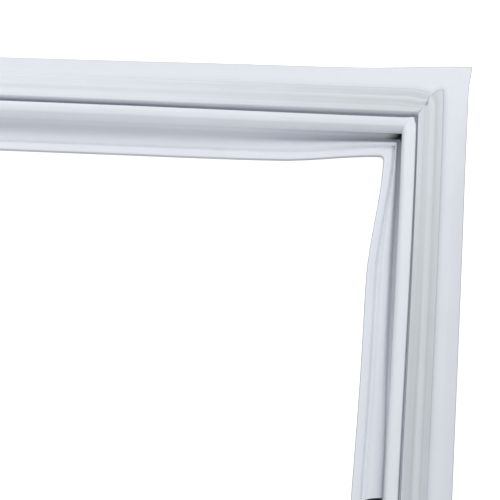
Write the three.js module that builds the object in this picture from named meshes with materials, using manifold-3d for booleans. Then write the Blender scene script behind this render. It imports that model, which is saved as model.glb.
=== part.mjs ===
// Refrigerator door gasket: a frame of hollow soft vinyl, welded at its four mitred corners,
// with a flexible magnet strip lying loose in the pocket of each side.
// The frame lies on its back, on the tips of the dart that is pushed into the door's groove.
// The sealing face looks up (+Z), the frame's width runs along X and its height along Y.
// The origin is at the middle of the frame, on the surface that the dart tips stand on.
// In a section, d is the distance outward from the middle of the slot between the magnet
// pocket and the air roll, and z is the height above the underside of the base. Millimetres.

import * as THREE from "three";
import { mergeVertices } from "three/addons/utils/BufferGeometryUtils.js";
import Module from "manifold-3d";

const wasm = await Module();
wasm.setup();

// Frame, measured over the edges of the slack fin
const frameWidth = 440;
const frameHeight = 560;

// Walls of the extruded section
const bellowsWall = 0.7;
const pocketWall = 0.75;
const baseThickness = 1.4;

// Magnet strip and the pocket that holds it
const magnetWidth = 8;
const magnetThickness = 2.6;
const magnetClearance = 0.3;
const magnetEndGap = 14;
const magnetEdge = 0.4;
const faceThickness = 1.0;
const pocketCorner = 0.5;

// Sealing face: two low lands at its edges and a ridge just outside its middle
const landHeight = 0.2;
const landWidth = 1.4;
const ridgeHeight = 0.5;
const ridgeShift = 0.6;
const ridgeLand = 0.9;
const ridgeFlank = 1.4;

// Slot and air roll
const slotWidth = 1.6;
const slotDepth = 4.6;
const rollTop = 15.4;
const rollWidth = 4.5;
const rollInnerRadius = 1.5;
const rollOuterRadius = 0.5;
const pocketRise = 1.5;

// Bellows folds under the roll and under the pocket
const innerFoldHeight = 4.2;
const innerFoldDepth = 2.4;
const outerFoldHeight = 6.4;
const outerFoldDepth = 4.2;

// Base, its outer edge, and the dart below it in a shallow recess
const baseEdgeInset = 0.7;
const baseFoot = 1.5;
const dartOffset = -1.4;
const dartHeight = 6.2;
const dartStem = 2.0;
const dartReach = 2.9;
const dartTaper = 0.35;
const dartBarbs = 2;
const dartTipLand = 1.4;
const dartRecess = 0.25;
const dartRecessReach = 3.3;

// Inner lip: a thin sheet from the base to a bead along its edge
const lipWidth = 12.3;
const lipThickness = 1.15;
const lipLift = 0.2;
const beadWidth = 4.0;
const beadHeight = 2.3;
const grooveWidth = 0.7;
const grooveDepth = 0.4;

// Outer fin
const finWidth = 9.5;
const finThickness = 0.8;
const finRootDrop = 1.5;
const finFall = 4.0;
const finCrown = 0.6;

// How the soft edges lie: pulled tight at the welds and slack along the sides
const lipPull = 4.2;
const lipPullLength = 115;
const finFlare = 1.4;
const finLift = 1.2;
const finFlareLength = 70;

// Openings: gaps in the welds, air holes under the pocket and a vent punched in the lip
const weldGapDiameter = 2.4;
const airHoleDiameter = 3.0;
const ventLength = 14;
const ventWidth = 5.0;
const ventFromCorner = 161;

// How far the fin and the lip reach into the walls that carry them
const rootOverlap = 0.4;

// Fineness of the faceted curves, and where the soft edges have stations in their slack length
const curveSteps = 4;
const holeSides = 16;
const slackShares = [0.07, 0.16, 0.28, 0.42, 0.58, 0.78, 1];

// Worked out from the sizes above
const slotHalf = slotWidth / 2;
const cavityWidth = magnetWidth + 2 * magnetClearance;
const cavityHeight = magnetThickness + 2 * magnetClearance;
const pocketOuter = slotHalf + cavityWidth + 2 * pocketWall;
const pocketMiddle = (slotHalf + pocketOuter) / 2;
const pocketTop = rollTop + pocketRise;
const cavityTop = pocketTop - faceThickness;
const cavityBottom = cavityTop - cavityHeight;
const pocketBottom = cavityBottom - pocketWall;
const slotFloor = rollTop - slotDepth;
const rollInner = -slotHalf - rollWidth;
const finReach = pocketOuter + finWidth;
const finRootTop = pocketTop - finRootDrop;
const baseOuter = pocketOuter - baseEdgeInset;
const footEdge = rollInner - baseFoot;
const slotHalfWidth = frameWidth / 2 - finReach;
const slotHalfHeight = frameHeight / 2 - finReach;

// 1 at a weld, falling smoothly to 0 where the edge has gone slack
function tightness(distance, length) {
  const share = Math.min(distance / length, 1);
  return 1 - share * share * (3 - 2 * share);
}

// Outer bellows wall: round the base's outer edge, in to the fold and out under the pocket
function drawOuterBellows(path) {
  const edge = baseThickness * 0.3;
  const fold = pocketOuter - outerFoldDepth;
  path.lineTo(baseOuter - edge, 0);
  path.lineTo(baseOuter, edge);
  path.lineTo(baseOuter, baseThickness - edge);
  path.lineTo(baseOuter - edge, baseThickness);
  path.quadraticCurveTo(fold - 1, outerFoldHeight - 1.6, fold, outerFoldHeight);
  path.quadraticCurveTo(fold + 1, outerFoldHeight + 1.8, pocketOuter, pocketBottom);
}

// Sealing face of the pocket, drawn inward from its outer edge to the slot
function drawSealingFace(path) {
  const ridge = pocketMiddle + ridgeShift;
  const ridgeOut = ridge + ridgeLand / 2;
  const ridgeIn = ridge - ridgeLand / 2;
  path.lineTo(pocketOuter, pocketTop - pocketCorner);
  path.quadraticCurveTo(pocketOuter, pocketTop, pocketOuter - pocketCorner, pocketTop + landHeight);
  path.lineTo(pocketOuter - landWidth, pocketTop + landHeight);
  path.lineTo(ridgeOut + ridgeFlank, pocketTop);
  path.lineTo(ridgeOut, pocketTop + ridgeHeight);
  path.lineTo(ridgeIn, pocketTop + ridgeHeight);
  path.lineTo(ridgeIn - ridgeFlank, pocketTop);
  path.lineTo(slotHalf + pocketCorner + landWidth, pocketTop + landHeight);
  path.lineTo(slotHalf + pocketCorner, pocketTop + landHeight);
  path.quadraticCurveTo(slotHalf, pocketTop, slotHalf, pocketTop - pocketCorner);
}

// Air roll, drawn across its top and down its inner side
function drawRoll(path) {
  path.lineTo(-slotHalf, rollTop - rollOuterRadius);
  path.quadraticCurveTo(-slotHalf, rollTop, -slotHalf - rollOuterRadius, rollTop);
  path.lineTo(rollInner + rollInnerRadius, rollTop);
  path.quadraticCurveTo(rollInner, rollTop, rollInner, rollTop - rollInnerRadius);
}

// Inner bellows wall: from the roll under itself to the fold, and out again to the base's foot
function drawInnerBellows(path) {
  const fold = rollInner + innerFoldDepth;
  path.lineTo(rollInner, innerFoldHeight + 2.2);
  path.quadraticCurveTo(rollInner, innerFoldHeight + 0.8, fold - 0.8, innerFoldHeight + 0.5);
  path.quadraticCurveTo(fold, innerFoldHeight + 0.3, fold - 0.4, innerFoldHeight - 0.6);
  path.quadraticCurveTo(rollInner + 0.8, baseThickness + 0.4, footEdge, baseThickness);
}

// Dart below the base: a stem with a barb on each side, again and again, and a flat tip
function drawDart(path) {
  const pitch = dartHeight / (dartBarbs + 0.4);
  const half = dartStem / 2;
  const barbs = Array.from({ length: dartBarbs }, (unused, i) => i);
  for (const i of barbs) {
    const shoulder = -(i + 0.4) * pitch;
    const reach = dartReach - dartTaper * i;
    path.lineTo(dartOffset - half, shoulder);
    path.lineTo(dartOffset - reach, shoulder - 0.25 * pitch);
    path.lineTo(dartOffset - reach, shoulder - 0.4 * pitch);
  }
  path.lineTo(dartOffset - dartTipLand / 2, -dartHeight);
  path.lineTo(dartOffset + dartTipLand / 2, -dartHeight);
  for (const i of barbs.reverse()) {
    const shoulder = -(i + 0.4) * pitch;
    const reach = dartReach - dartTaper * i;
    path.lineTo(dartOffset + reach, shoulder - 0.4 * pitch);
    path.lineTo(dartOffset + reach, shoulder - 0.25 * pitch);
    path.lineTo(dartOffset + half, shoulder);
  }
}

// Outline of what is the same all along the sides: base, dart, bellows, pocket and roll
function coreOutline() {
  const path = new THREE.Path();
  path.moveTo(dartOffset + dartStem / 2, dartRecess);
  path.lineTo(dartOffset + dartRecessReach, dartRecess);
  path.lineTo(dartOffset + dartRecessReach, 0);
  drawOuterBellows(path);
  drawSealingFace(path);
  path.lineTo(slotHalf, slotFloor);
  path.lineTo(-slotHalf, slotFloor);
  drawRoll(path);
  drawInnerBellows(path);
  path.lineTo(footEdge, 0);
  path.lineTo(dartOffset - dartRecessReach, 0);
  path.lineTo(dartOffset - dartRecessReach, dartRecess);
  path.lineTo(dartOffset - dartStem / 2, dartRecess);
  drawDart(path);
  path.closePath();
  return path.getPoints(curveSteps);
}

// Fin, from inside the pocket's outer wall to its rounded edge and back
function finOutline(distance) {
  const slack = 1 - tightness(distance, finFlareLength);
  const half = finThickness / 2;
  const root = pocketOuter - rootOverlap;
  const edge = finReach + finFlare * (1 - slack);
  const edgeHeight = finRootTop - finFall + finLift * (1 - slack);
  const middle = (pocketOuter + edge) / 2;
  const crown = (finRootTop + edgeHeight) / 2 + finCrown;
  const path = new THREE.Path();
  path.moveTo(root, finRootTop - 2 * finThickness);
  path.quadraticCurveTo(middle, crown - finThickness, edge - half, edgeHeight - half);
  path.quadraticCurveTo(edge, edgeHeight - half, edge, edgeHeight);
  path.quadraticCurveTo(edge, edgeHeight + half, edge - half, edgeHeight + half);
  path.quadraticCurveTo(middle, crown, root, finRootTop);
  path.closePath();
  return path.getPoints(curveSteps);
}

// Inner lip: from inside the base's foot along the sheet, over the bead and back underneath
function lipOutline(distance) {
  const root = footEdge + rootOverlap;
  const edge = rollInner - lipWidth + lipPull * tightness(distance, lipPullLength);
  const beadMiddle = edge + beadWidth / 2;
  const groove = edge + beadWidth;
  const top = lipLift + lipThickness;
  const beadCentre = (beadHeight + lipLift) / 2;
  const path = new THREE.Path();
  path.moveTo(root, lipLift);
  path.lineTo(root, top);
  path.lineTo(groove + grooveWidth, top);
  path.lineTo(groove + grooveWidth / 2, top - grooveDepth);
  path.lineTo(groove, top);
  path.quadraticCurveTo(groove - beadWidth / 8, beadHeight, beadMiddle, beadHeight);
  path.quadraticCurveTo(edge, beadHeight, edge, beadCentre);
  path.quadraticCurveTo(edge, lipLift, beadMiddle, lipLift);
  path.closePath();
  return path.getPoints(curveSteps);
}

// Air chamber inside the bellows and the roll, one wall in from the outline
function chamberOutline() {
  const outerFold = pocketOuter - outerFoldDepth - bellowsWall;
  const innerFold = rollInner + innerFoldDepth + bellowsWall;
  const rollLeft = rollInner + bellowsWall;
  const rollRight = -slotHalf - bellowsWall;
  const ceiling = rollTop - bellowsWall;
  const cutCorner = rollInnerRadius * 0.6;
  const path = new THREE.Path();
  path.moveTo(innerFold - 0.9, baseThickness);
  path.lineTo(baseOuter - 2 * bellowsWall, baseThickness);
  path.quadraticCurveTo(outerFold - 1, outerFoldHeight - 1.6, outerFold, outerFoldHeight);
  path.quadraticCurveTo(outerFold + 1, outerFoldHeight + 1.8, pocketOuter - 2 * bellowsWall, pocketBottom);
  path.lineTo(slotHalf + bellowsWall, pocketBottom);
  path.lineTo(slotHalf + bellowsWall, slotFloor - bellowsWall);
  path.lineTo(rollRight, slotFloor - bellowsWall);
  path.lineTo(rollRight, ceiling);
  path.lineTo(rollLeft + cutCorner, ceiling);
  path.lineTo(rollLeft, ceiling - cutCorner);
  path.lineTo(rollLeft, innerFoldHeight + 2.2);
  path.quadraticCurveTo(rollLeft, innerFoldHeight + 1.5, innerFold - 0.9, innerFoldHeight + 1.2);
  path.quadraticCurveTo(innerFold, innerFoldHeight + 0.6, innerFold - 0.4, innerFoldHeight - 0.8);
  path.closePath();
  return path.getPoints(curveSteps);
}

// Pocket cavity, with the magnet's clearance all round
function pocketOutline() {
  const path = new THREE.Path();
  path.moveTo(slotHalf + pocketWall, cavityBottom);
  path.lineTo(pocketOuter - pocketWall, cavityBottom);
  path.lineTo(pocketOuter - pocketWall, cavityTop);
  path.lineTo(slotHalf + pocketWall, cavityTop);
  path.closePath();
  return path.getPoints();
}

// Stations round the frame as places on a square from -1 to 1, each with its distance from a weld.
// There is one on each mitre, and soft edges have more where they go slack.
function ringStations(shares) {
  const corners = [[-1, -1], [1, -1], [1, 1], [-1, 1]];
  const stations = [];
  corners.forEach(([u, v], i) => {
    const [nextU, nextV] = corners[(i + 1) % corners.length];
    const side = 2 * (v === nextV ? slotHalfWidth : slotHalfHeight);
    const near = shares.map((share) => (share * lipPullLength) / side);
    const far = near.map((share) => 1 - share).reverse();
    for (const share of [0, ...near, ...far]) {
      stations.push({
        u: u + (nextU - u) * share,
        v: v + (nextV - v) * share,
        distance: Math.min(share, 1 - share) * side,
      });
    }
  });
  return stations;
}

// A closed outline lathed once round, with its stations drawn out to the mitred frame
function frameRing(outlineAt, shares = []) {
  const stations = ringStations(shares);
  const ring = new THREE.LatheGeometry(outlineAt(0), stations.length);
  const position = ring.getAttribute("position");
  for (let i = 0; i <= stations.length; i += 1) {
    const { u, v, distance } = stations[i % stations.length];
    const outline = outlineAt(distance);
    outline.forEach((point, j) => {
      const x = (slotHalfWidth + point.x) * u;
      const y = (slotHalfHeight + point.x) * v;
      position.setXYZ(i * outline.length + j, x, y, point.y);
    });
  }
  return ring;
}

// Solid for joining and cutting, from a closed geometry
function solid(geometry) {
  const bare = geometry.clone();
  bare.deleteAttribute("normal");
  bare.deleteAttribute("uv");
  const merged = mergeVertices(bare, 1e-4);
  const mesh = new wasm.Mesh({
    numProp: 3,
    vertProperties: new Float32Array(merged.getAttribute("position").array),
    triVerts: new Uint32Array(merged.index.array),
  });
  return new wasm.Manifold(mesh);
}

function geometryOf(joined) {
  const mesh = joined.getMesh();
  const geometry = new THREE.BufferGeometry();
  geometry.setAttribute("position", new THREE.BufferAttribute(mesh.vertProperties, 3));
  geometry.setIndex(new THREE.BufferAttribute(mesh.triVerts, 1));
  return geometry;
}

// Gap left in the weld where the inner bellows wall meets itself, open into the air chamber
function weldGap(signX, signY) {
  const radius = weldGapDiameter / 2;
  const length = 2 * (innerFoldDepth + bellowsWall) + 2;
  const hole = new THREE.CylinderGeometry(radius, radius, length, holeSides);
  hole.rotateZ(Math.atan2(signY, signX) - Math.PI / 2);
  const x = signX * (slotHalfWidth + rollInner);
  const y = signY * (slotHalfHeight + rollInner);
  hole.translate(x, y, innerFoldHeight + 2.2);
  return solid(hole);
}

// Hole through the pocket's floor at a weld, where the pocket breathes into the air chamber
function airHole(signX, signY) {
  const radius = airHoleDiameter / 2;
  const hole = new THREE.CylinderGeometry(radius, radius, 3 * pocketWall, holeSides);
  hole.rotateX(Math.PI / 2);
  const x = signX * (slotHalfWidth + pocketMiddle);
  const y = signY * (slotHalfHeight + pocketMiddle);
  hole.translate(x, y, (cavityBottom + pocketBottom) / 2);
  return solid(hole);
}

// Vent punched through the lip's sheet on the right side, below the upper corner
function lipVent() {
  const radius = ventWidth / 2;
  const straight = ventLength / 2 - radius;
  const depth = 2 * (lipThickness + lipLift);
  const shape = new THREE.Shape();
  shape.absarc(0, straight, radius, 0, Math.PI);
  shape.absarc(0, -straight, radius, Math.PI, 2 * Math.PI);
  const slot = new THREE.ExtrudeGeometry(shape, { depth, bevelEnabled: false, curveSegments: curveSteps });
  const sheetMiddle = (footEdge + rollInner - lipWidth + beadWidth) / 2;
  slot.translate(slotHalfWidth + sheetMiddle, slotHalfHeight - ventFromCorner, -depth / 4);
  return solid(slot);
}

function vinylFrame() {
  let frame = solid(frameRing(coreOutline));
  frame = frame.add(solid(frameRing(finOutline, slackShares)));
  frame = frame.add(solid(frameRing(lipOutline, slackShares)));
  frame = frame.subtract(solid(frameRing(chamberOutline)));
  frame = frame.subtract(solid(frameRing(pocketOutline)));
  for (const signX of [-1, 1]) {
    for (const signY of [-1, 1]) {
      frame = frame.subtract(weldGap(signX, signY));
      frame = frame.subtract(airHole(signX, signY));
    }
  }
  return geometryOf(frame.subtract(lipVent()));
}

// Magnet strip with its long edges eased, lying along Y
function magnetStrip(length) {
  const halfWidth = magnetWidth / 2;
  const halfHeight = magnetThickness / 2;
  const shape = new THREE.Shape();
  shape.moveTo(-halfWidth + magnetEdge, -halfHeight);
  shape.lineTo(halfWidth - magnetEdge, -halfHeight);
  shape.lineTo(halfWidth, -halfHeight + magnetEdge);
  shape.lineTo(halfWidth, halfHeight - magnetEdge);
  shape.lineTo(halfWidth - magnetEdge, halfHeight);
  shape.lineTo(-halfWidth + magnetEdge, halfHeight);
  shape.lineTo(-halfWidth, halfHeight - magnetEdge);
  shape.lineTo(-halfWidth, -halfHeight + magnetEdge);
  const strip = new THREE.ExtrudeGeometry(shape, { depth: length, bevelEnabled: false });
  strip.translate(0, 0, -length / 2);
  strip.rotateX(Math.PI / 2);
  return strip;
}

const vinyl = new THREE.MeshStandardMaterial({ color: 0xe6eaef, roughness: 0.45, metalness: 0 });
const ferrite = new THREE.MeshStandardMaterial({ color: 0x3a322e, roughness: 0.8, metalness: 0 });

const gasket = new THREE.Group();
gasket.position.z = dartHeight;

const frame = new THREE.Mesh(vinylFrame(), vinyl);
frame.name = "gasket_frame";
gasket.add(frame);

const sides = [
  { name: "magnet_strip_right", half: slotHalfHeight, away: slotHalfWidth, turn: 0 },
  { name: "magnet_strip_top", half: slotHalfWidth, away: slotHalfHeight, turn: Math.PI / 2 },
  { name: "magnet_strip_left", half: slotHalfHeight, away: slotHalfWidth, turn: Math.PI },
  { name: "magnet_strip_bottom", half: slotHalfWidth, away: slotHalfHeight, turn: 1.5 * Math.PI },
];
for (const { name, half, away, turn } of sides) {
  const length = 2 * (half + pocketMiddle - magnetEndGap);
  const strip = new THREE.Mesh(magnetStrip(length), ferrite.clone());
  const reach = away + pocketMiddle;
  strip.name = name;
  strip.position.set(reach * Math.cos(turn), reach * Math.sin(turn), (cavityBottom + cavityTop) / 2);
  strip.rotation.z = turn;
  gasket.add(strip);
}

export default gasket;
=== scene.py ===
import collections
import math

import bmesh
import bpy
from mathutils import Euler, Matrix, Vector, noise


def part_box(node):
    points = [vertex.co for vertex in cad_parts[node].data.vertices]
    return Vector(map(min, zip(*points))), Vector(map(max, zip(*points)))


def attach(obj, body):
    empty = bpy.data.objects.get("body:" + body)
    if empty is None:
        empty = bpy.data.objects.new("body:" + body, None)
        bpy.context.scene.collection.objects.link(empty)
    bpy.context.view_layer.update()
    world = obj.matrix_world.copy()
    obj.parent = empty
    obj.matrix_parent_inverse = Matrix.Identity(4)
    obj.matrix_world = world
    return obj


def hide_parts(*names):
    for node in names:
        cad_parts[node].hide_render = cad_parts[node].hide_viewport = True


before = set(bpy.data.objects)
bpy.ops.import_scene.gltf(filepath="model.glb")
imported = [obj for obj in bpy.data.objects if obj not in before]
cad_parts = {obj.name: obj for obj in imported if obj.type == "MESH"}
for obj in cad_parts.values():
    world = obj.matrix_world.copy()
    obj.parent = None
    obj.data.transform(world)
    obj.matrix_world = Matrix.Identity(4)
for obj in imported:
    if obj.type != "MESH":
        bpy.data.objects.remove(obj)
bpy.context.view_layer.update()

bl_info = {
    "name": "Refrigerator Door Gasket",
    "version": (1, 0, 0),
    "blender": (4, 5, 0),
    "location": "View3D > Sidebar > Gasket",
    "description": "Soft vinyl door gasket with its magnet strips, modelled round the packed solids",
    "category": "Object",
}

MM = 0.001
SIDES = ("bottom", "right", "top", "left")
# The photograph's view: the camera's turn about X, Y and Z in degrees, its place from the slot's
# upper right corner in its own axes, in millimetres, and its focal length in pixels of a 500 pixel frame
CAMERA_TURN = (16.93, 3.17, 2.42)
CAMERA_FROM_CORNER = (-67.9, -55.2, 734.6)
CAMERA_FOCAL_PIXELS = 1800
PHOTO_PIXELS = 500
SENSOR_WIDTH = 36

# Fineness of the vinyl frame: spacing of the points round the section, and the distances between
# the rings along a side, from the first one at a weld up to the longest
POINT_SPACING = 0.8 * MM
FIRST_STEP = 0.4 * MM
STEP_GROWTH = 1.22
LONGEST_STEP = 12 * MM
BAR_STEPS = 48

# The vent's ends on the right side, as distances from the upper weld
VENT_START = 152.5 * MM
VENT_END = 166.5 * MM

# Reaches across the sealing face where the weld has not fused
WELD_GAPS = (1.4 * MM, 5.0 * MM, 7.4 * MM)

# How many streaks a metre holds across, up and along the section
BROAD_STREAKS = (900, 700, 7)
FINE_STREAKS = (3200, 3200, 14)
# Near black painted on the walls of the weld pits and the vent's recesses, as the shade of deep openings
PAINTED_HOLE_DARK = (0.003, 0.003, 0.004, 1)
FLOOR_GLOW = 0.7


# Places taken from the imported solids

def middle_of(node):
    low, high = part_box(node)
    return (low + high) / 2


def size_of(node):
    low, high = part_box(node)
    return high - low


MAGNET_WIDTH = size_of("magnet_strip_right").x
MAGNET_THICKNESS = size_of("magnet_strip_right").z
POCKET_X = middle_of("magnet_strip_right").x
POCKET_Y = middle_of("magnet_strip_top").y
MAGNET_Z = middle_of("magnet_strip_right").z


def length(name, description, millimetres):
    """A size of the gasket, in metres, given here in millimetres."""
    return bpy.props.FloatProperty(
        name=name, description=description, default=millimetres * MM, unit="LENGTH", precision=5,
    )


def lengths(name, description, millimetres):
    """A size for the bottom, right, top and left side, given in millimetres."""
    return bpy.props.FloatVectorProperty(
        name=name, description=description + ", at the bottom, right, top and left", size=4,
        default=[value * MM for value in millimetres], unit="LENGTH", precision=5,
    )


def colour(name, description, value):
    return bpy.props.FloatVectorProperty(
        name=name, description=description, default=value, subtype="COLOR", size=3, min=0, max=1,
    )


class GasketSection(bpy.types.PropertyGroup):
    """Sizes of the extruded section."""

    magnet_clearance: length("Magnet clearance", "Room round the magnet strip", 0.3)
    pocket_wall: length("Pocket wall", "Side walls and floor of the magnet pocket", 0.75)
    face_thickness: length("Face thickness", "Vinyl over the magnet strip", 1.0)
    base_thickness: length("Base thickness", "Base plate above the dart", 1.4)
    slot_width: length("Slot width", "Gap between pocket and roll", 1.6)
    slot_depth: length("Slot depth", "Depth of that gap below the roll", 4.6)
    roll_width: length("Roll width", "Width of the air roll", 4.5)
    pocket_rise: length("Pocket rise", "Height of the pocket above the roll", 1.5)
    ridge_height: length("Ridge height", "Height of the middle rib of the sealing face", 0.5)
    land_height: length("Land height", "Height of the ribs along the edges of the sealing face", 0.2)
    fin_width: length("Fin width", "Reach of the outer fin beyond the pocket", 9.9)
    fin_thickness: length("Fin thickness", "Thickness of the outer fin", 0.8)
    fin_fall: length("Fin fall", "How far the fin drops to its edge", 4.0)
    lip_width: length("Lip width", "Reach of the inner lip beyond the roll", 12.3)
    lip_thickness: length("Lip thickness", "Thickness of the sheet of the inner lip", 1.15)
    bead_width: length("Bead width", "Width of the bead along the lip", 4.5)
    bead_height: length("Bead height", "Height of the bead", 2.3)
    dart_height: length("Dart height", "Depth of the dart below the base", 6.2)


class GasketLie(bpy.types.PropertyGroup):
    """How the soft sides and edges lie."""

    bow: lengths("Bow", "How far a side bows towards the opening at its middle", (1.0, 3.2, -0.35, 1.6))
    slot_opening: lengths("Slot opening", "How much wider the slot stands near a weld", (0, -0.95, 0.4, 0))
    slot_rest: lengths("Slot rest", "How much wider it stands at the middle of a side", (0, -0.5, 0, 0))
    slot_fill: lengths("Slot fill", "How much shallower than drawn the slot is", (0, 1.8, 0, 0))
    lip_pull: lengths("Lip pull", "How far a weld pulls the lip outward", (2.8, 5.0, 2.8, 5.0))
    lip_pull_length: lengths("Lip pull length", "Distance over which the lip goes slack", (46, 58, 46, 58))
    lip_slack: lengths("Lip slack", "How far the slack lip hangs into the opening", (0.2, 1.0, 0.2, 0.8))
    lip_rise: length("Lip rise", "How far a weld lifts the bead", 1.8)
    lip_rise_length: length("Lip rise length", "Distance over which the bead sinks back", 70)
    fold: length("Fold", "Height of the fold that a weld raises in the sheet", 3.2)
    fold_rest: lengths("Fold rest", "Height of the fold in the middle of a side", (0.2, 1.9, 0.2, 1.4))
    fold_close: length("Fold close", "How far the fold of an upright side leans toward the roll", 1.5)
    fold_length: lengths("Fold length", "Distance over which the fold dies away", (90, 125, 90, 125))
    fin_flare: lengths("Fin flare", "How far the fin stands out at a weld", (1.2, 0.5, 2.0, 0.7))
    fin_flare_length: length("Fin flare length", "Distance over which the flare dies away", 60)
    fin_tip: lengths("Fin tip", "How far the fin's last few millimetres stand out", (0, 1.1, 0, 1.1))
    fin_lift: length("Fin lift", "How far the fin stands up at a weld", 2.0)
    fin_rest: lengths("Fin rest", "Height of the slack fin's edge over the drawn one", (-1.2, 0, -2.0, -0.4))
    fin_lift_length: lengths("Fin lift length", "Distance over which the fin sinks", (120, 60, 190, 80))
    slump: length("Slump", "How far the softened end of a side sinks at its weld", 0.9)
    slump_width: length("Slump width", "How much narrower the pocket is at that end", 2.1)
    slump_length: length("Slump length", "Distance over which the end recovers", 12)
    weld_wander: length("Weld wander", "How far the weld across the pocket leaves the mitre", 1.3)
    weld_sink: length("Weld sink", "Depth of the seam along a weld", 0.1)
    weld_gap: length("Weld gap", "Depth of the places where the weld has not fused", 1.6)
    corner_radius: length("Corner radius", "Rounding of the lip's inner corners", 1.9)
    ripple: length("Ripple", "Height of the waves along the free edges", 0.35)


class GasketColours(bpy.types.PropertyGroup):
    """Colours of the vinyl, the magnets and the floor, and of the shade painted into the vinyl."""

    vinyl: colour("Vinyl", "Bluish white of the vinyl", (0.80, 0.83, 0.88))
    over_magnet: colour("Over the magnet", "Vinyl with the dark strip showing through", (0.67, 0.705, 0.73))
    # The crease colour is painted shade, laid into the crease under the roll where little light reaches.
    crease: colour("Crease", "Tint of the dust in the crease under the roll", (0.22, 0.24, 0.28))
    # The edge colour is painted shade, a dark line along the free edges of the fin and the lip.
    edge: colour("Edge", "Dull line along the free edges", (0.46, 0.46, 0.48))
    ferrite: colour("Ferrite", "Bonded ferrite of the magnet strips", (0.055, 0.042, 0.035))
    floor: colour("Floor", "Pale floor", (0.9, 0.9, 0.9))
    roughness: bpy.props.FloatProperty(
        name="Roughness", description="Roughness of the vinyl", default=0.42, min=0, max=1, subtype="FACTOR",
    )


# Outline of the section, as corners with the reach, the height and the rounding of each. A reach runs
# outward from the middle of the slot between pocket and roll, a height up from the base's underside

def section_corners(s):
    """Reaches and heights that several parts of the outline share, and the slot's place in the frame."""
    slot = s.slot_width / 2
    cavity = MAGNET_WIDTH + 2 * s.magnet_clearance
    pocket_outer = slot + cavity + 2 * s.pocket_wall
    pocket_middle = (slot + pocket_outer) / 2
    cavity_top = MAGNET_Z + MAGNET_THICKNESS / 2 + s.magnet_clearance - s.dart_height
    cavity_bottom = MAGNET_Z - MAGNET_THICKNESS / 2 - s.magnet_clearance - s.dart_height
    pocket_bottom = cavity_bottom - s.pocket_wall
    face = cavity_top + s.face_thickness
    roll_top = face - s.pocket_rise
    roll_inner = -slot - s.roll_width
    slot_floor = roll_top - s.slot_depth
    base_outer = pocket_outer - 0.7 * MM
    return {
        "slot": slot, "pocket_outer": pocket_outer, "pocket_middle": pocket_middle,
        "pocket_bottom": pocket_bottom,
        "face": face, "roll_top": roll_top, "roll_inner": roll_inner, "slot_floor": slot_floor,
        "base_outer": base_outer, "foot": roll_inner - 1.5 * MM,
        "slot_x": POCKET_X - pocket_middle, "slot_y": POCKET_Y - pocket_middle,
        "dart_height": s.dart_height,
    }


def bellows_corners(k, s):
    """Base, its outer edge and the outer bellows fold, up to the pocket."""
    base = s.base_thickness
    return [
        (-0.4 * MM, 0, 0.3 * MM),
        (k["base_outer"], 0, 0.4 * MM),
        (k["base_outer"], base, 0.4 * MM),
        (k["base_outer"] - 0.9 * MM, base, 0.5 * MM),
        (k["pocket_outer"] - 4.9 * MM, 5.9 * MM, 2.2 * MM),
        (k["pocket_outer"], k["pocket_bottom"], 0.8 * MM),
    ]


def fin_corners(k, s):
    root = k["face"] - 1.5 * MM
    edge = k["pocket_outer"] + s.fin_width
    edge_height = root - s.fin_fall
    half = s.fin_thickness / 2
    middle = (k["pocket_outer"] + edge) / 2
    crown = (root + edge_height) / 2 + 0.6 * MM
    return [
        (k["pocket_outer"], root - 2 * s.fin_thickness, 0.5 * MM),
        (middle, crown - s.fin_thickness, 3.4 * MM),
        (edge, edge_height - half, 0.36 * MM),
        (edge, edge_height + half, 0.36 * MM),
        (middle, crown, 3.4 * MM),
        (k["pocket_outer"], root, 0.3 * MM),
    ]


def face_corners(k, s):
    """Sealing face, from its outer edge across the ribs to the slot."""
    ridge = k["pocket_middle"] + 0.6 * MM
    half = 0.45 * MM
    flank = 1.4 * MM
    edge = k["face"] + s.land_height
    top = k["face"] + s.ridge_height
    return [
        (k["pocket_outer"], edge, 0.5 * MM),
        (k["pocket_outer"] - 1.4 * MM, edge, 0.4 * MM),
        (ridge + half + flank, k["face"], 0.5 * MM),
        (ridge + half, top, 0.3 * MM),
        (ridge - half, top, 0.3 * MM),
        (ridge - half - flank, k["face"], 0.5 * MM),
        (k["slot"] + 1.9 * MM, edge, 0.4 * MM),
        (k["slot"], edge, 0.5 * MM),
    ]


def roll_corners(k, s):
    """Slot, air roll and the inner bellows fold down to the base's foot."""
    inner = k["roll_inner"]
    return [
        (k["slot"], k["slot_floor"], 0.35 * MM),
        (-k["slot"], k["slot_floor"], 0.35 * MM),
        (-k["slot"], k["roll_top"], 0.55 * MM),
        (inner + 2.1 * MM, k["roll_top"] - 0.05 * MM, 1.2 * MM),
        (inner + 0.5 * MM, k["roll_top"] - 1.2 * MM, 0.9 * MM),
        (inner - 0.1 * MM, k["roll_top"] - 3.6 * MM, 1.2 * MM),
        (inner - 0.1 * MM, 6.3 * MM, 1.3 * MM),
        (inner + 2.6 * MM, 4.3 * MM, 0.7 * MM),
        (inner + 0.8 * MM, s.base_thickness + 0.2 * MM, 1.2 * MM),
    ]


def lip_corners(k, s):
    """Sheet, groove, bead and underside of the inner lip."""
    lift = 0.2 * MM
    edge = k["roll_inner"] - s.lip_width
    groove = edge + s.bead_width
    top = lift + s.lip_thickness
    return [
        (k["foot"], top + 0.02 * MM, 0.8 * MM),
        (groove + 1.6 * MM, top, 0.7 * MM),
        (groove + 0.5 * MM, top - 0.55 * MM, 0.5 * MM),
        (groove - 0.2 * MM, top - 0.25 * MM, 0.4 * MM),
        (groove - 0.9 * MM, s.bead_height, 0.8 * MM),
        (edge, s.bead_height, 1.0 * MM),
        (edge, lift, 1.0 * MM),
        (k["foot"], lift, 0.1 * MM),
        (k["foot"], 0, 0.1 * MM),
        (-2.4 * MM, 0, 0.3 * MM),
    ]


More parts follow.
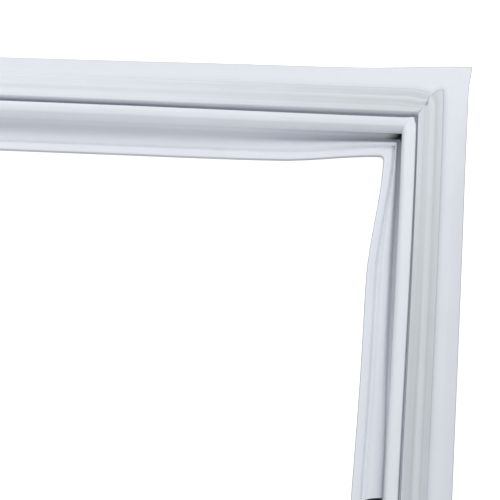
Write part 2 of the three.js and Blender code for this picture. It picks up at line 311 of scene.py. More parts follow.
def dart_corners(s):
    """Barbed dart, down its inner side and up its outer side."""
    centre = -1.4 * MM
    stem = 1.0 * MM
    pitch = s.dart_height / 2.4
    inner = []
    for i in range(2):
        shoulder = -(i + 0.4) * pitch
        reach = (2.9 - 0.35 * i) * MM
        inner.append((stem, shoulder, 0.2 * MM))
        inner.append((reach, shoulder - 0.25 * pitch, 0.18 * MM))
        inner.append((reach, shoulder - 0.4 * pitch, 0.18 * MM))
    inner.append((0.7 * MM, -s.dart_height, 0.1 * MM))
    left = [(centre - x, z, r) for x, z, r in inner]
    right = [(centre + x, z, r) for x, z, r in reversed(inner)]
    return left + right


def skin_corners(k, s):
    return (
        bellows_corners(k, s) + fin_corners(k, s) + face_corners(k, s)
        + roll_corners(k, s) + lip_corners(k, s) + dart_corners(s)
    )


def draw_loop(corners, spacing):
    """The corners joined up and rounded, with long stretches divided; returns (reach, height) points."""
    bm = bmesh.new()
    verts = [bm.verts.new((reach, 0, height)) for reach, height, _ in corners]
    for i, vert in enumerate(verts):
        bm.edges.new((vert, verts[(i + 1) % len(verts)]))
    for vert, (_, _, rounding) in zip(verts, corners):
        if not rounding:
            continue
        reach = min(rounding, 0.48 * min(edge.calc_length() for edge in vert.link_edges))
        bmesh.ops.bevel(
            bm, geom=[vert], offset=reach, segments=4 if rounding > 0.2 * MM else 2, profile=0.5,
            affect="VERTICES", material=-1,
        )
    for edge in list(bm.edges):
        cuts = int(edge.calc_length() / spacing)
        if cuts:
            bmesh.ops.subdivide_edges(bm, edges=[edge], cuts=cuts)
    bm.verts.ensure_lookup_table()
    start = max(bm.verts, key=lambda v: (v.co.x, v.co.z))
    walk = [start]
    steps = [edge.other_vert(start) for edge in start.link_edges]
    current = max(steps, key=lambda v: v.co.z)
    while current is not start:
        walk.append(current)
        current = next(v for v in (e.other_vert(current) for e in current.link_edges) if v is not walk[-2])
    points = [(v.co.x, v.co.z) for v in walk]
    bm.free()
    return points


# Rings: the loop extruded from station to station round the frame and closed on itself

def side_distances(half_length):
    """Distances from a weld to the rings of half a side, close together near the weld and round the vent."""
    distances = [0.0]
    step = FIRST_STEP
    while distances[-1] + step < half_length:
        distances.append(distances[-1] + step)
        step = min(step * STEP_GROWTH, LONGEST_STEP)
    clear = [d for d in distances if not VENT_START - 2 * MM < d < VENT_END + 2 * MM]
    rim = 0.3 * MM
    vent = [VENT_START - rim, VENT_START, (VENT_START + VENT_END) / 2, VENT_END, VENT_END + rim]
    return sorted(clear + vent)


Station = collections.namedtuple("Station", "u v side along distance run")


def ring_stations(k):
    """The rings' places (u, v) on a square from -1 to 1, with the side, and how far along it they are.

    distance is how far the nearer weld is, and run is how far round the frame a ring is.
    """
    corners = [(-1, -1), (1, -1), (1, 1), (-1, 1)]
    stations = []
    before = 0.0
    for number, (u, v) in enumerate(corners):
        next_u, next_v = corners[(number + 1) % 4]
        whole = 2 * (k["slot_x"] if v == next_v else k["slot_y"])
        near = side_distances(whole / 2)
        for along in near + [whole - d for d in reversed(near[1:])]:
            share = along / whole
            stations.append(Station(
                u + (next_u - u) * share, v + (next_v - v) * share, SIDES[number],
                along, min(along, whole - along), before + along,
            ))
        before += whole
    return stations


def sweep(bm, points, count, settle, closed):
    """Extrudes the loop through a number of places. Layers keep each vertex's place in the section.

    settle moves the vertices of the loop to a place, given its number. The last loop is joined to the
    first one, or both ends are closed.
    """
    layers = bm.verts.layers.float
    verts = []
    for reach, height in points:
        vert = bm.verts.new()
        vert[layers["reach"]] = reach
        vert[layers["height"]] = height
        verts.append(vert)
    edges = [bm.edges.new((vert, verts[(i + 1) % len(verts)])) for i, vert in enumerate(verts)]
    settle(verts, 0)
    start = edges
    for number in range(1, count):
        grown = bmesh.ops.extrude_edge_only(bm, edges=edges)["geom"]
        verts = [part for part in grown if isinstance(part, bmesh.types.BMVert)]
        ring = set(verts)
        edges = [
            part for part in grown
            if isinstance(part, bmesh.types.BMEdge) and ring.issuperset(part.verts)
        ]
        settle(verts, number)
    if closed:
        bmesh.ops.bridge_loops(bm, edges=start + edges)
    else:
        bmesh.ops.contextual_create(bm, geom=start)
        bmesh.ops.contextual_create(bm, geom=edges)


def extrude_ring(bm, points, k, place, lie):
    """Sweeps the loop round the frame. place moves a point of the section, given its station."""
    layers = bm.verts.layers.float
    stations = ring_stations(k)

    def settle(verts, number):
        station = stations[number]
        bow_x, bow_y = bow_of(station, k, lie)
        for vert in verts:
            reach, height = vert[layers["reach"]], vert[layers["height"]]
            own, other, height = place(reach, height, station)
            if station.side in ("top", "bottom"):
                own, other = other, own
            wander_x, wander_y = wander_of(station, reach, k, lie)
            x = (k["slot_x"] + own) * station.u + bow_x + wander_x
            y = (k["slot_y"] + other) * station.v + bow_y + wander_y
            vert.co = (x, y, height + k["dart_height"])
            vert[layers["run"]] = station.run
            vert[layers["show"]] = magnet_show(station)
            # Mask of painted near-black shade round the gaps at the welds.
            vert[layers["hollow"]] = painted_hole_shade_at(reach, vert[layers["height"]], station, k)
            # Mask of the shade painted into the crease under the roll.
            vert[layers["crease"]] = crease_shade_at(reach, vert[layers["height"]], station, k)

    sweep(bm, points, len(stations), settle, closed=True)


def magnet_show(station):
    """How strongly the magnet darkens the vinyl over it, least in the middle of the top and the bottom."""
    if station.side in ("right", "left"):
        return 0.9 + 0.9 * smooth(station.distance / (150 * MM))
    return 0.9 - 0.6 * smooth(station.distance / (130 * MM))


def painted_hole_shade_at(reach, height, station, k):
    """1 where painted near-black shade darkens the recess under the roll at a weld, round the unwelded gap
    there, fading along the crease under the roll.
    """
    if not (k["roll_inner"] - 0.6 * MM < reach < -2.5 * MM and 0.5 * MM < height < 5.6 * MM):
        return 0.0
    if station.side in ("top", "bottom"):
        return 0.97 * (1 - smooth((station.distance - 1.5 * MM) / (6.5 * MM)))
    return 0.97 * (1 - smooth(station.distance / (2.2 * MM)))


def crease_shade_at(reach, height, station, k):
    """How deep in the crease between the roll and the lip a point lies, from 0 to 1: the mask of the shade
    painted into that crease.
    """
    if reach > -2.5 * MM or height < 0.5 * MM:
        return 0.0
    upright = station.side in ("right", "left")
    if reach < k["foot"] + 0.3 * MM:
        depth = 1 - smooth((k["foot"] + 0.3 * MM - reach) / (1.9 * MM))
    else:
        depth = smooth(((9.5 if upright else 7) * MM - height) / (4 * MM))
    if upright:
        return depth * (1 - 0.6 * smooth((station.distance - 70 * MM) / (60 * MM)))
    return depth * (0.1 + 0.9 * (1 - smooth(station.distance / (85 * MM))))


TRAVEL = {"bottom": (1, 0), "right": (0, 1), "top": (-1, 0), "left": (0, -1)}


def wander_of(station, reach, k, lie):
    """Shift in X and Y of the weld across the pocket, on past the end of the side that stands proud."""
    share = (reach - 4.4 * MM) / (k["pocket_outer"] + 0.4 * MM - 4.4 * MM)
    near = 1 - smooth(station.distance / (4 * MM))
    if not (0 < share < 1 and near):
        return 0, 0
    number = SIDES.index(station.side)
    following = number if station.along == station.distance else (number + 1) % 4
    ahead, behind = TRAVEL[SIDES[following]], TRAVEL[SIDES[following - 1]]
    amount = lie.weld_wander * near * math.sin(math.pi * share ** 0.8)
    return (ahead[0] + behind[0]) * amount, (ahead[1] + behind[1]) * amount


def new_section_mesh():
    bm = bmesh.new()
    for name in ("reach", "height", "run", "show", "hollow", "crease"):
        bm.verts.layers.float.new(name)
    return bm


def smooth(share):
    """0 up to 0, 1 from 1 and a smooth step between."""
    share = min(max(share, 0), 1)
    return share * share * (3 - 2 * share)


def wave(place, size, seed):
    """A slow wave along the frame, from -1 to 1."""
    return noise.noise(Vector((place / size, seed, 0.5)))


def neighbour(station):
    """The side that meets this one at the nearer weld."""
    if station.side in ("top", "bottom"):
        return "right" if station.u > 0 else "left"
    return "top" if station.v > 0 else "bottom"


def soft_lie(k, s, lie):
    """How the vinyl lies: pulled and lifted at the welds, slack and slightly wavy along the sides.

    Returns a function that moves a point of the section. It is made of moves that each give a shift
    across the station's own side, a shift across the neighbouring side and a rise.
    """
    names = (
        "slot_opening", "slot_rest", "slot_fill", "fold_rest", "fold_length", "lip_pull", "lip_pull_length",
        "lip_slack", "fin_flare", "fin_tip", "fin_rest", "fin_lift_length",
    )
    by_side = {name: dict(zip(SIDES, getattr(lie, name))) for name in names}
    foot = k["foot"]
    sheet = s.lip_width - s.bead_width - (k["roll_inner"] - foot)
    still = (0, 0, 0)

    def lip_pull(side, distance):
        tight = 1 - smooth(distance / by_side["lip_pull_length"][side])
        slack = smooth((distance - 90 * MM) / (90 * MM))
        return by_side["lip_pull"][side] * tight - by_side["lip_slack"][side] * slack

    def fin_flare(side, distance):
        tip = by_side["fin_tip"][side] * (1 - smooth(distance / (14 * MM))) ** 2
        return tip + by_side["fin_flare"][side] * (1 - smooth(distance / lie.fin_flare_length)) ** 2

    def fin_lift(side, distance):
        rest = by_side["fin_rest"][side]
        return rest + (lie.fin_lift - rest) * (1 - smooth(distance / by_side["fin_lift_length"][side]))

    def fold_height(side, distance):
        rest = by_side["fold_rest"][side]
        return rest + (lie.fold - rest) * (1 - smooth(distance / by_side["fold_length"][side]))

    def along_fin(reach):
        return max((reach - k["pocket_outer"]) / s.fin_width, 0)

    def along_lip(reach):
        return min(max((foot - reach) / sheet, 0), 1)

    def move_fin(reach, height, station):
        side, distance = station.side, station.distance
        fin = along_fin(reach)
        if not fin:
            return still
        ripple = lie.ripple * wave(station.run, 45 * MM, 2) * smooth(distance / (60 * MM))
        rise = (fin_lift(side, distance) + ripple) * fin * fin
        return fin_flare(side, distance) * fin, fin_flare(neighbour(station), 0) * fin, rise

    def move_lip(reach, height, station):
        side, distance = station.side, station.distance
        lip = along_lip(reach)
        if not lip:
            return still
        upright = side in ("right", "left")
        own = lip_pull(side, distance) * lip
        if upright:
            edge = smooth(lip / 0.08) * (1 - smooth((lip - 0.08) / 0.4))
            own += lie.fold_close * smooth((distance - 80 * MM) / (60 * MM)) * edge
        rise = lie.lip_rise * (1 - smooth(distance / lie.lip_rise_length)) * lip * lip
        raised = smooth(lip / (0.28 if upright else 0.45)) - 0.55 * smooth((lip - 0.6) / 0.4)
        rise += fold_height(side, distance) * raised
        slack = smooth(distance / (60 * MM))
        rise += lie.ripple * (1 + wave(station.run, 60 * MM, 7)) * slack * lip * 0.6
        return own, lip_pull(neighbour(station), 0) * lip, rise

    def move_slot(reach, height, station):
        side, distance = station.side, station.distance
        own = rise = 0
        if k["slot_floor"] - MM < height and -k["slot"] - MM < reach < 0:
            near, far = by_side["slot_opening"][side], by_side["slot_rest"][side]
            opening = (near + (far - near) * smooth(distance / (130 * MM))) * smooth(distance / (4 * MM))
            own = -opening * smooth((reach + k["slot"] + MM) / MM)
        if abs(height - k["slot_floor"]) < 0.6 * MM and abs(reach) < k["slot"] + 0.1 * MM:
            rise = by_side["slot_fill"][side] * smooth(distance / (6 * MM))
        return own, 0, rise

    def slump_end(reach, height, station):
        """Sinks the softened end of the pocket on the side that starts at the weld."""
        if not (station.along > 0 and reach > k["slot"] and height > k["pocket_bottom"]):
            return still
        slump = 1 - smooth(station.along / lie.slump_length)
        root = 1 - min(along_fin(reach) * 5, 1)
        across = smooth((reach - k["slot"]) / (k["pocket_outer"] - k["slot"]))
        sunk = lie.slump * slump * root * smooth((reach - k["slot"]) / (2 * MM))
        return -lie.slump_width * slump * root * across, 0, -sunk

    def sink_weld(reach, height, station):
        """Sinks the seam of the weld, deeper where it has not fused."""
        if not (-6 * MM < reach < k["pocket_outer"] and height > k["pocket_bottom"]):
            return still
        seam = math.exp(-(station.distance / (0.35 * MM)) ** 2)
        sunk = lie.weld_sink * seam * (0.6 + 0.8 * noise.noise(Vector((reach / (2 * MM), 3.1, 0))))
        for gap in WELD_GAPS:
            away = (station.distance / (0.55 * MM)) ** 2 + ((reach - gap) / (0.6 * MM)) ** 2
            sunk += lie.weld_gap * math.exp(-away)
        return 0, 0, -sunk

    def round_corner(reach, height, station):
        """Rounds the lip's edge at its inner corner."""
        if not along_lip(reach) or station.distance >= lie.corner_radius:
            return still
        inner = smooth((k["roll_inner"] - s.lip_width + 2 * MM - reach) / (2 * MM))
        fillet = 0.3 * lie.corner_radius * (1 - station.distance / lie.corner_radius) ** 2 * inner
        return -fillet, -fillet, 0

    moves = (move_fin, move_lip, move_slot, slump_end, sink_weld, round_corner)

    def place(reach, height, station):
        """Reach across the station's own side, reach across the neighbouring side, and height."""
        own = other = reach
        for move in moves:
            shift, other_shift, rise = move(reach, height, station)
            own += shift
            other += other_shift
            height += rise
        return own, other, height

    return place


def bow_of(station, k, lie):
    """Shift in X and Y of a station on a side that bows inward."""
    whole = 2 * (k["slot_x"] if station.side in ("top", "bottom") else k["slot_y"])
    depth = lie.bow[SIDES.index(station.side)] * math.sin(math.pi * station.along / whole) ** 2
    across = {"top": (0, -1), "bottom": (0, 1), "right": (-1, 0), "left": (1, 0)}[station.side]
    return across[0] * depth, across[1] * depth


def groove_reach(k, s):
    return k["roll_inner"] - s.lip_width + s.bead_width + 0.3 * MM


def open_corner(bm, k, middle, size, width, direction, depth):
    """Sinks a pit for the unwelded hole at each mitre, round a place (reach, height) of the section; its
    walls get the painted near-black shade of a deep opening.

    size is how far it goes either way across and up the section, and width how far along the frame.
    The direction's X and Y point out of the frame.
    """
    layers = bm.verts.layers.float
    around = [
        vert for vert in bm.verts
        if abs(vert[layers["reach"]] - middle[0]) <= size[0]
        and abs(vert[layers["height"]] - middle[1]) <= size[1]
    ]
    for sign_x in (-1, 1):
        for sign_y in (-1, 1):
            near = set()
            for vert in around:
                if vert.is_valid and vert.co.x * sign_x > 0 and vert.co.y * sign_y > 0:
                    if mitre_distance(vert, k, layers) <= width:
                        near.add(vert)
            faces = {face for vert in near for face in vert.link_faces if near.issuperset(face.verts)}
            if not faces:
                raise RuntimeError("No faces to open at a mitre")
            grown = bmesh.ops.extrude_face_region(bm, geom=list(faces))["geom"]
            bmesh.ops.delete(bm, geom=list(faces), context="FACES")
            sunk = [part for part in grown if isinstance(part, bmesh.types.BMVert)]
            way = Vector((direction[0] * sign_x, direction[1] * sign_y, direction[2])).normalized() * depth
            bmesh.ops.translate(bm, verts=sunk, vec=way)
            # The pit's walls get the painted near-black shade.
            for vert in sunk:
                vert[layers["hollow"]] = 1.0


def open_vent(bm, k, s):
    """Sinks the vent into both faces of the lip's sheet, low on the right side, as recesses whose walls get
    the painted near-black shade of an opening.
    """
    layers = bm.verts.layers.float
    corner = 2 * k["slot_x"] + 2 * k["slot_y"]
    groove = groove_reach(k, s) + 0.7 * MM

    def inside(vert):
        along = corner - vert[layers["run"]]
        across = groove < vert[layers["reach"]] < k["foot"] + 0.6 * MM
        low = vert[layers["height"]] < 2 * MM
        return across and low and VENT_START - 0.1 * MM < along < VENT_END + 0.1 * MM

    sheet = [face for face in bm.faces if all(inside(vert) for vert in face.verts)]
    groups = [
        (way, [
            face for face in sheet
            if all((vert[layers["height"]] - s.lip_thickness / 2) * way < 0 for vert in face.verts)
        ])
        for way in (-1, 1)
    ]
    for way, faces in groups:
        if not faces:
            raise RuntimeError("No faces to open for the vent")
        grown = bmesh.ops.extrude_face_region(bm, geom=faces)["geom"]
        bmesh.ops.delete(bm, geom=faces, context="FACES")
        sunk = [part for part in grown if isinstance(part, bmesh.types.BMVert)]
        bmesh.ops.translate(bm, verts=sunk, vec=(0, 0, way * 0.4 * s.lip_thickness))
        # The recess walls get the painted near-black shade.
        for vert in sunk:
            vert[layers["hollow"]] = 1.0


def mitre_distance(vert, k, layers):
    """How far along the frame a vertex is from the nearest mitre."""
    corners = [0.0]
    for whole in (2 * k["slot_x"], 2 * k["slot_y"], 2 * k["slot_x"], 2 * k["slot_y"]):
        corners.append(corners[-1] + whole)
    return min(abs(vert[layers["run"]] - corner) for corner in corners)


def make_bar(side, k, s, lie):
    """A magnet strip with square-cut ends that follows the side's bow."""
    low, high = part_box("magnet_strip_" + side)
    upright = side in ("right", "left")
    start, end = (low.y, high.y) if upright else (low.x, high.x)
    half = k["slot_y"] if upright else k["slot_x"]
    bottom = MAGNET_Z - MAGNET_THICKNESS / 2 - s.dart_height
    inner = k["pocket_middle"] - MAGNET_WIDTH / 2
    outline = [
        (inner, bottom, 0.25 * MM),
        (inner + MAGNET_WIDTH, bottom, 0.25 * MM),
        (inner + MAGNET_WIDTH, bottom + MAGNET_THICKNESS, 0.25 * MM),
        (inner, bottom + MAGNET_THICKNESS, 0.25 * MM),
    ]
    bm = new_section_mesh()
    layers = bm.verts.layers.float

    def settle(verts, number):
        place = start + (end - start) * number / BAR_STEPS
        station = Station(0, 0, side, place + half, 0, place + half)
        bow_x, bow_y = bow_of(station, k, lie)
        for vert in verts:
            out = vert[layers["reach"]]
            across = {"right": k["slot_x"] + out, "left": -k["slot_x"] - out,
                      "top": k["slot_y"] + out, "bottom": -k["slot_y"] - out}[side]
            x, y = (across, place) if upright else (place, across)
            vert.co = (x + bow_x, y + bow_y, vert[layers["height"]] + s.dart_height)
            vert[layers["run"]] = place + half

    sweep(bm, draw_loop(outline, spacing=20 * MM), BAR_STEPS + 1, settle, closed=False)
    bmesh.ops.recalc_face_normals(bm, faces=bm.faces)
    return finish_mesh(bm, "magnet_bar_" + side, flat=True)


def make_skin():
    """The welded vinyl frame."""
    scene = bpy.context.scene
    s = scene.gasket_section
    k = section_corners(s)
    bm = new_section_mesh()
    points = draw_loop(skin_corners(k, s), spacing=POINT_SPACING)
    extrude_ring(bm, points, k, soft_lie(k, s, scene.gasket_lie), scene.gasket_lie)
    under_roll = (k["roll_inner"] + 1.2 * MM, 2.9 * MM)
    open_corner(
        bm, k, under_roll, size=(1.9 * MM, 2.0 * MM), width=2.6 * MM, direction=(1, 1, 0.1), depth=5 * MM,
    )
    in_groove = (groove_reach(k, s), s.lip_thickness)
    open_corner(
        bm, k, in_groove, size=(0.75 * MM, 0.8 * MM), width=0.9 * MM, direction=(0, 0, -1), depth=0.9 * MM,
    )
    open_vent(bm, k, s)
    bmesh.ops.recalc_face_normals(bm, faces=bm.faces)
    return finish_mesh(bm, "vinyl_frame")


def finish_mesh(bm, name, flat=False):
    for face in bm.faces:
        face.smooth = not flat
    mesh = bpy.data.meshes.new(name)
    bm.to_mesh(mesh)
    bm.free()
    piece = bpy.data.objects.new(name, mesh)
    bpy.context.scene.collection.objects.link(piece)
    return piece


# Materials

def put(tree, kind, inputs=None, **settings):
    """Adds a node; inputs are sockets to link or values to set, by name or number."""
    made = tree.nodes.new(kind)
    for name, value in settings.items():
        setattr(made, name, value)
    for name, value in (inputs or {}).items():
        if isinstance(value, bpy.types.NodeSocket):
            tree.links.new(value, made.inputs[name])
        else:
            made.inputs[name].default_value = value
    return made


def calc(tree, operation, first, second=0.0, third=0.0):
    return put(tree, "ShaderNodeMath", {0: first, 1: second, 2: third}, operation=operation).outputs[0]


def step_between(tree, value, low, high):
    """0 below low, 1 above high and a smooth step between."""
    made = put(
        tree, "ShaderNodeMapRange", {"Value": value, "From Min": low, "From Max": high},
        interpolation_type="SMOOTHSTEP",
    )
    return made.outputs["Result"]


def blend(tree, factor, first, second, mode="MIX"):
    made = put(tree, "ShaderNodeMix", {0: factor, 6: first, 7: second}, data_type="RGBA", blend_type=mode)
    return made.outputs[2]


def attribute(tree, name):
    return put(tree, "ShaderNodeAttribute", attribute_name=name).outputs["Fac"]


def new_group(name, inputs, outputs):
    """A node group with float inputs and outputs; returns it with the sockets to use inside."""
    tree = bpy.data.node_groups.new(name, "ShaderNodeTree")
    for socket in inputs:
        tree.interface.new_socket(socket, in_out="INPUT", socket_type="NodeSocketFloat")
    for socket in outputs:
        tree.interface.new_socket(socket, in_out="OUTPUT", socket_type="NodeSocketFloat")
    return tree, tree.nodes.new("NodeGroupInput").outputs


def streaks_group():
    """Long streaks that an extrusion keeps from its die, from 0 to 1, as a value and as a height."""
    name = "extrusion_streaks"
    if name in bpy.data.node_groups:
        return bpy.data.node_groups[name]
    tree, given = new_group(name, ("Across", "Up", "Along"), ("Value", "Height"))

    def streaks(counts, detail):
        place = put(tree, "ShaderNodeCombineXYZ", {
            axis: calc(tree, "MULTIPLY", given[axis], count) for axis, count in enumerate(counts)
        })
        return put(tree, "ShaderNodeTexNoise", {"Vector": place.outputs[0], "Scale": 1.0, "Detail": detail})

    broad = streaks(BROAD_STREAKS, 2.0)
    fine = streaks(FINE_STREAKS, 1.0)
    share = calc(tree, "MULTIPLY", fine.outputs["Fac"], 0.3)
    both = calc(tree, "MULTIPLY_ADD", broad.outputs["Fac"], 0.7, share)
    result = tree.nodes.new("NodeGroupOutput")
    tree.links.new(step_between(tree, both, 0.32, 0.68), result.inputs["Value"])
    tree.links.new(fine.outputs["Fac"], result.inputs["Height"])
    return tree


def mottle_group():
    """Cloudy unevenness and a fine grain, from 0 to 1."""
    name = "soft_mottle"
    if name in bpy.data.node_groups:
        return bpy.data.node_groups[name]
    tree, _ = new_group(name, (), ("Cloud", "Grain"))
    place = put(tree, "ShaderNodeTexCoord").outputs["Object"]
    cloud = put(tree, "ShaderNodeTexNoise", {"Vector": place, "Scale": 45.0, "Detail": 3.0})
    grain = put(tree, "ShaderNodeTexNoise", {"Vector": place, "Scale": 2600.0, "Detail": 1.0})
    result = tree.nodes.new("NodeGroupOutput")
    tree.links.new(cloud.outputs["Fac"], result.inputs["Cloud"])
    tree.links.new(grain.outputs["Fac"], result.inputs["Grain"])
    return tree


def shades(tree):
    """The streaks and the mottle of an extruded piece, placed by its own attributes."""
    streaks = put(tree, "ShaderNodeGroup", node_tree=streaks_group())
    for socket, name in (("Across", "reach"), ("Up", "height"), ("Along", "run")):
        tree.links.new(attribute(tree, name), streaks.inputs[socket])
    mottle = put(tree, "ShaderNodeGroup", node_tree=mottle_group())
    return streaks.outputs, mottle.outputs


def vinyl_material(colours, k, s):
    """Soft white vinyl, greyer over the magnets, with painted shade along its free edges, in the crease
    under the roll, between the ribs and in the recesses at the welds.
    """
    material = bpy.data.materials.new("soft_vinyl")
    material.use_nodes = True
    tree = material.node_tree
    streaks, mottle = shades(tree)
    reach = attribute(tree, "reach")
    outer = k["pocket_outer"]
    over = calc(
        tree, "MULTIPLY", step_between(tree, reach, k["slot"] - 0.2 * MM, k["slot"] + 0.5 * MM),
        step_between(tree, reach, outer + 0.2 * MM, outer - 0.3 * MM),
    )
    over = calc(tree, "MULTIPLY", over, attribute(tree, "show"))
    over = calc(tree, "MULTIPLY", over, calc(tree, "MULTIPLY_ADD", streaks["Value"], -0.45, 1.15))
    colour = blend(tree, over, (*colours.vinyl, 1), (*colours.over_magnet, 1))
    # Painted shade: a dark line along the free edges of the fin and the lip.
    fin_edge = outer + s.fin_width
    lip_edge = k["roll_inner"] - s.lip_width
    edge = calc(
        tree, "MAXIMUM", step_between(tree, reach, fin_edge - 0.5 * MM, fin_edge - 0.15 * MM),
        step_between(tree, reach, lip_edge + 0.5 * MM, lip_edge + 0.15 * MM),
    )
    colour = blend(tree, calc(tree, "MULTIPLY", edge, 0.75), colour, (*colours.edge, 1))
    tone = calc(tree, "MULTIPLY_ADD", streaks["Value"], 0.015, 0.985)
    tone = calc(tree, "MULTIPLY", tone, calc(tree, "MULTIPLY_ADD", mottle["Cloud"], 0.06, 0.97))
    # Painted shade: over the magnet, the valleys between the ribs of the sealing face are darker than the
    # ribs.
    ribs = step_between(tree, attribute(tree, "height"), k["face"], k["face"] + 0.45 * MM)
    rib_valley_shade = calc(tree, "SUBTRACT", ribs, 1)
    rib_valley_tone = calc(tree, "MULTIPLY_ADD", rib_valley_shade, calc(tree, "MULTIPLY", over, 0.1), 1)
    tone = calc(tree, "MULTIPLY", tone, rib_valley_tone)
    grey = put(tree, "ShaderNodeCombineColor", {0: tone, 1: tone, 2: tone}).outputs[0]
    colour = blend(tree, 1.0, colour, grey, "MULTIPLY")
    # Painted shade darkens the crease under the roll.
    painted_shade = calc(tree, "MULTIPLY", attribute(tree, "crease"), 0.34)
    colour = blend(tree, painted_shade, colour, (*colours.crease, 1), "MULTIPLY")
    grain = calc(tree, "MULTIPLY", mottle["Grain"], 0.3)
    height = calc(tree, "MULTIPLY_ADD", streaks["Height"], 0.7, grain)
    bump = put(tree, "ShaderNodeBump", {"Height": height, "Distance": 0.00002, "Strength": 0.5})
    # Painted shade: near black in the pits at the welds, in the recess under the roll beside them and in the
    # vent.
    colour = blend(tree, attribute(tree, "hollow"), colour, PAINTED_HOLE_DARK)
    shader = tree.nodes["Principled BSDF"]
    roughness = calc(tree, "MULTIPLY_ADD", streaks["Value"], 0.1, colours.roughness - 0.05)
    tree.links.new(colour, shader.inputs["Base Color"])
    tree.links.new(roughness, shader.inputs["Roughness"])
    tree.links.new(bump.outputs[0], shader.inputs["Normal"])
    shader.inputs["Subsurface Weight"].default_value = 0.12
    shader.inputs["Subsurface Radius"].default_value = (1.0, 0.95, 0.9)
    shader.inputs["Subsurface Scale"].default_value = 0.0015
    return material


def ferrite_material(colours):
    """Dark bonded ferrite with a dull skin."""
    material = bpy.data.materials.new("bonded_ferrite")
    material.use_nodes = True
    tree = material.node_tree
    streaks, mottle = shades(tree)
    tone = calc(tree, "MULTIPLY_ADD", streaks["Value"], 0.5, 0.75)
    tone = calc(tree, "MULTIPLY_ADD", mottle["Cloud"], 0.5, calc(tree, "SUBTRACT", tone, 0.25))
    grey = put(tree, "ShaderNodeCombineColor", {0: tone, 1: tone, 2: tone}).outputs[0]
    colour = blend(tree, 1.0, (*colours.ferrite, 1), grey, "MULTIPLY")
    bump = put(tree, "ShaderNodeBump", {"Height": mottle["Grain"], "Distance": 0.00005, "Strength": 0.7})
    shader = tree.nodes["Principled BSDF"]
    tree.links.new(colour, shader.inputs["Base Color"])
    tree.links.new(calc(tree, "MULTIPLY_ADD", mottle["Grain"], 0.2, 0.5), shader.inputs["Roughness"])
    tree.links.new(bump.outputs[0], shader.inputs["Normal"])
    return material


class GASKET_OT_vinyl_frame(bpy.types.Operator):
    """Model the welded vinyl frame in place of its plain solid"""

    bl_idname = "gasket.vinyl_frame"
    bl_label = "Vinyl Frame"

    def execute(self, context):
        s = context.scene.gasket_section
        piece = make_skin()
        piece.data.materials.append(vinyl_material(context.scene.gasket_colours, section_corners(s), s))
        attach(piece, "root")
        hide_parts("gasket_frame")
        return {"FINISHED"}


class GASKET_OT_magnet_strips(bpy.types.Operator):
    """Model the four magnet strips inside the frame's pockets"""

    bl_idname = "gasket.magnet_strips"
    bl_label = "Magnet Strips"

    def execute(self, context):
        scene = context.scene
        s = scene.gasket_section
        material = ferrite_material(scene.gasket_colours)
        for side in SIDES:
            bar = make_bar(side, section_corners(s), s, scene.gasket_lie)
            bar.data.materials.append(material)
            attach(bar, "root")
            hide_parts("magnet_strip_" + side)
        return {"FINISHED"}


class GASKET_OT_stage(bpy.types.Operator):
    """Set the pale floor, the soft studio light and the camera at the photograph's angle"""

    bl_idname = "gasket.stage"
    bl_label = "Stage"

    def execute(self, context):
        scene = context.scene
        make_floor(scene.gasket_colours)
        make_lights(scene)
        make_camera(scene)
        return {"FINISHED"}


class GASKET_PT_gasket(bpy.types.Panel):
    """Pieces of the door gasket, with their sizes and colours"""

    bl_idname = "GASKET_PT_gasket"
    bl_label = "Door Gasket"
    bl_space_type = "VIEW_3D"
    bl_region_type = "UI"
    bl_category = "Gasket"

    def draw(self, context):
        layout = self.layout
        for operator in ("gasket.vinyl_frame", "gasket.magnet_strips", "gasket.stage"):
            layout.operator(operator)
        for group in (context.scene.gasket_section, context.scene.gasket_lie, context.scene.gasket_colours):
            box = layout.box()
            for name in group.__annotations__:
                box.prop(group, name)


def make_floor(colours):
    """A pale floor that glows a little where the camera sees it, and lights nothing."""
    bm = bmesh.new()
    bmesh.ops.create_grid(bm, x_segments=1, y_segments=1, size=6)
    mesh = bpy.data.meshes.new("floor")
    bm.to_mesh(mesh)
    bm.free()
    floor = bpy.data.objects.new("floor", mesh)
    bpy.context.scene.collection.objects.link(floor)
    material = bpy.data.materials.new("pale_floor")
    material.use_nodes = True
    shader = material.node_tree.nodes["Principled BSDF"]
    shader.inputs["Base Color"].default_value = (*colours.floor, 1)
    shader.inputs["Roughness"].default_value = 0.9
    nodes, links = material.node_tree.nodes, material.node_tree.links
    glow = nodes.new("ShaderNodeEmission")
    glow.inputs["Color"].default_value = (1, 1, 1, 1)
    glow.inputs["Strength"].default_value = FLOOR_GLOW
    path = nodes.new("ShaderNodeLightPath")
    add = nodes.new("ShaderNodeAddShader")
    seen = nodes.new("ShaderNodeMixShader")
    links.new(path.outputs["Is Camera Ray"], seen.inputs[0])
    links.new(glow.outputs[0], seen.inputs[2])
    links.new(shader.outputs[0], add.inputs[0])
    links.new(seen.outputs[0], add.inputs[1])
    links.new(add.outputs[0], nodes["Material Output"].inputs["Surface"])
    mesh.materials.append(material)


def add_softbox(name, size, energy, place, target):
    light = bpy.data.lights.new(name, "AREA")
    light.shape = "SQUARE"
    light.size = size
    light.energy = energy
    lamp = bpy.data.objects.new(name, light)
    lamp.location = place
    lamp.rotation_euler = (Vector(place) - Vector(target)).to_track_quat("Z", "Y").to_euler()
    bpy.context.scene.collection.objects.link(lamp)


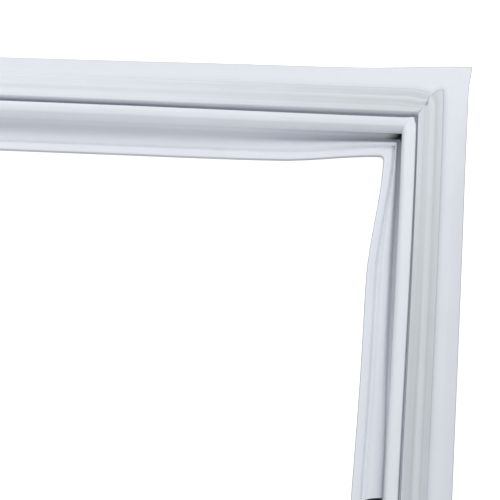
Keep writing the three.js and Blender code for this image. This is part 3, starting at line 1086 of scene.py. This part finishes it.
def make_lights(scene):
    world = bpy.data.worlds.new("soft_room")
    world.use_nodes = True
    background = world.node_tree.nodes["Background"]
    background.inputs["Color"].default_value = (0.975, 0.98, 1.0, 1)
    background.inputs["Strength"].default_value = 0.5
    scene.world = world
    add_softbox("front_softbox", 0.5, 2.75, (0.1, -0.65, 0.85), (0.15, 0.2, 0))
    add_softbox("right_softbox", 0.3, 0.4, (0.34, 0.42, 0.36), (0.2, 0.25, 0))
    add_softbox("top_softbox", 0.3, 0.7, (-0.1, 0.46, 0.38), (0.05, 0.25, 0))


def make_camera(scene):
    s = scene.gasket_section
    k = section_corners(s)
    corner = Vector((k["slot_x"], k["slot_y"], k["roll_top"] + s.dart_height))
    turn = Euler([math.radians(a) for a in CAMERA_TURN], "ZYX").to_matrix()
    camera = bpy.data.cameras.new("camera")
    camera.sensor_width = SENSOR_WIDTH
    camera.lens = CAMERA_FOCAL_PIXELS / PHOTO_PIXELS * SENSOR_WIDTH
    camera.clip_start = 0.02
    camera.clip_end = 20
    eye = bpy.data.objects.new("camera", camera)
    eye.rotation_euler = turn.to_euler()
    eye.location = corner + turn @ Vector([c * MM for c in CAMERA_FROM_CORNER])
    scene.collection.objects.link(eye)
    scene.camera = eye
    scene.view_settings.view_transform = "Standard"


CLASSES = (
    GasketSection, GasketLie, GasketColours, GASKET_OT_vinyl_frame, GASKET_OT_magnet_strips,
    GASKET_OT_stage, GASKET_PT_gasket,
)


def register():
    for cls in CLASSES:
        bpy.utils.register_class(cls)
    bpy.types.Scene.gasket_section = bpy.props.PointerProperty(type=GasketSection)
    bpy.types.Scene.gasket_lie = bpy.props.PointerProperty(type=GasketLie)
    bpy.types.Scene.gasket_colours = bpy.props.PointerProperty(type=GasketColours)


def unregister():
    del bpy.types.Scene.gasket_colours
    del bpy.types.Scene.gasket_lie
    del bpy.types.Scene.gasket_section
    for cls in reversed(CLASSES):
        bpy.utils.unregister_class(cls)


def main():
    register()
    bpy.ops.gasket.vinyl_frame()
    bpy.ops.gasket.magnet_strips()
    bpy.ops.gasket.stage()


if __name__ == "__main__":
    main()
